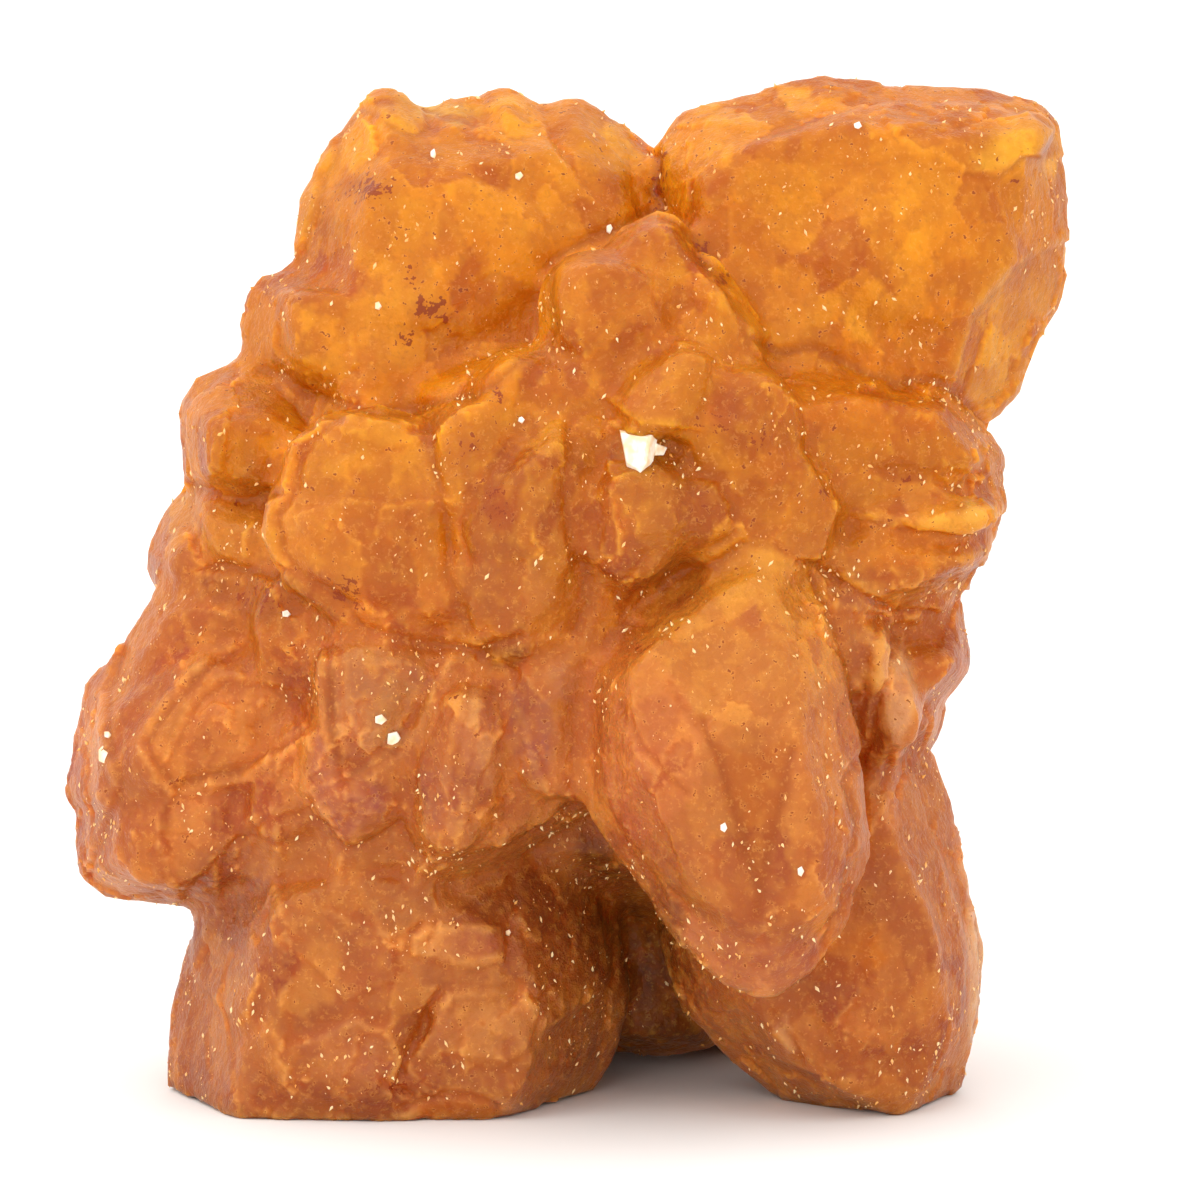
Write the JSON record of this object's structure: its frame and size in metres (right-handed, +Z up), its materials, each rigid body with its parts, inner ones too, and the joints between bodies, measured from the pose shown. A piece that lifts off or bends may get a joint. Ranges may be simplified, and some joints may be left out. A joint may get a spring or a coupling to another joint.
{
  "type": "citrine crystal cluster",
  "caption": "Free-standing cluster of blocky citrine crystals grown together as one stone, standing on flat feet, for display.",
  "frame": {"origin": "middle of the bounding box's footprint, on the surface that the stone stands on", "axes": "+Z up, -Y towards the viewer of the picture (the spear-shaped crystal points that way), +X to the viewer's right"},
  "size_m": [0.0458, 0.0352, 0.0458],
  "materials": {
    "citrine": "satin, translucent amber quartz with frosted growth faces"
  },
  "bodies": {
    "root": {"citrine_cluster": "citrine"}
  },
  "joints": []
}
